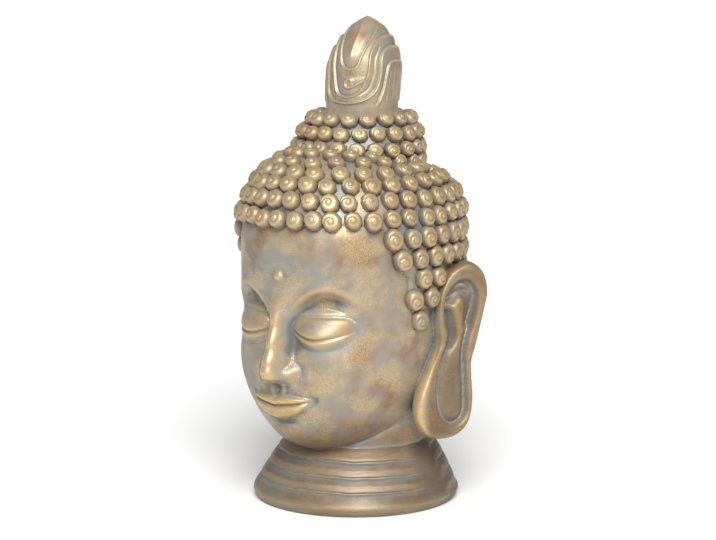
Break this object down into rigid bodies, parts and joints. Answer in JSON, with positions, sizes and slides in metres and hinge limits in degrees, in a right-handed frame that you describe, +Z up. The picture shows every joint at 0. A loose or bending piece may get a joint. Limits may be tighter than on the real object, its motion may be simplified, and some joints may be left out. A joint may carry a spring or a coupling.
{
  "type": "buddha head statue",
  "caption": "Cast garden statue of a Buddha head with snail-shell curls, a flame finial, long ears and a flared ringed neck that stands flat.",
  "frame": {"origin": "centre of the flat underside", "axes": "+Z up, -Y the way the face looks, +X the statue's left side"},
  "size_m": [0.4068, 0.4129, 0.7407],
  "materials": {
    "aged_bronze_finish": "cast fibre clay painted a satin aged bronze, rubbed with gold on the raised carving and blue-grey in the hollows"
  },
  "bodies": {
    "root": {"buddha_head": "aged_bronze_finish"}
  },
  "joints": []
}
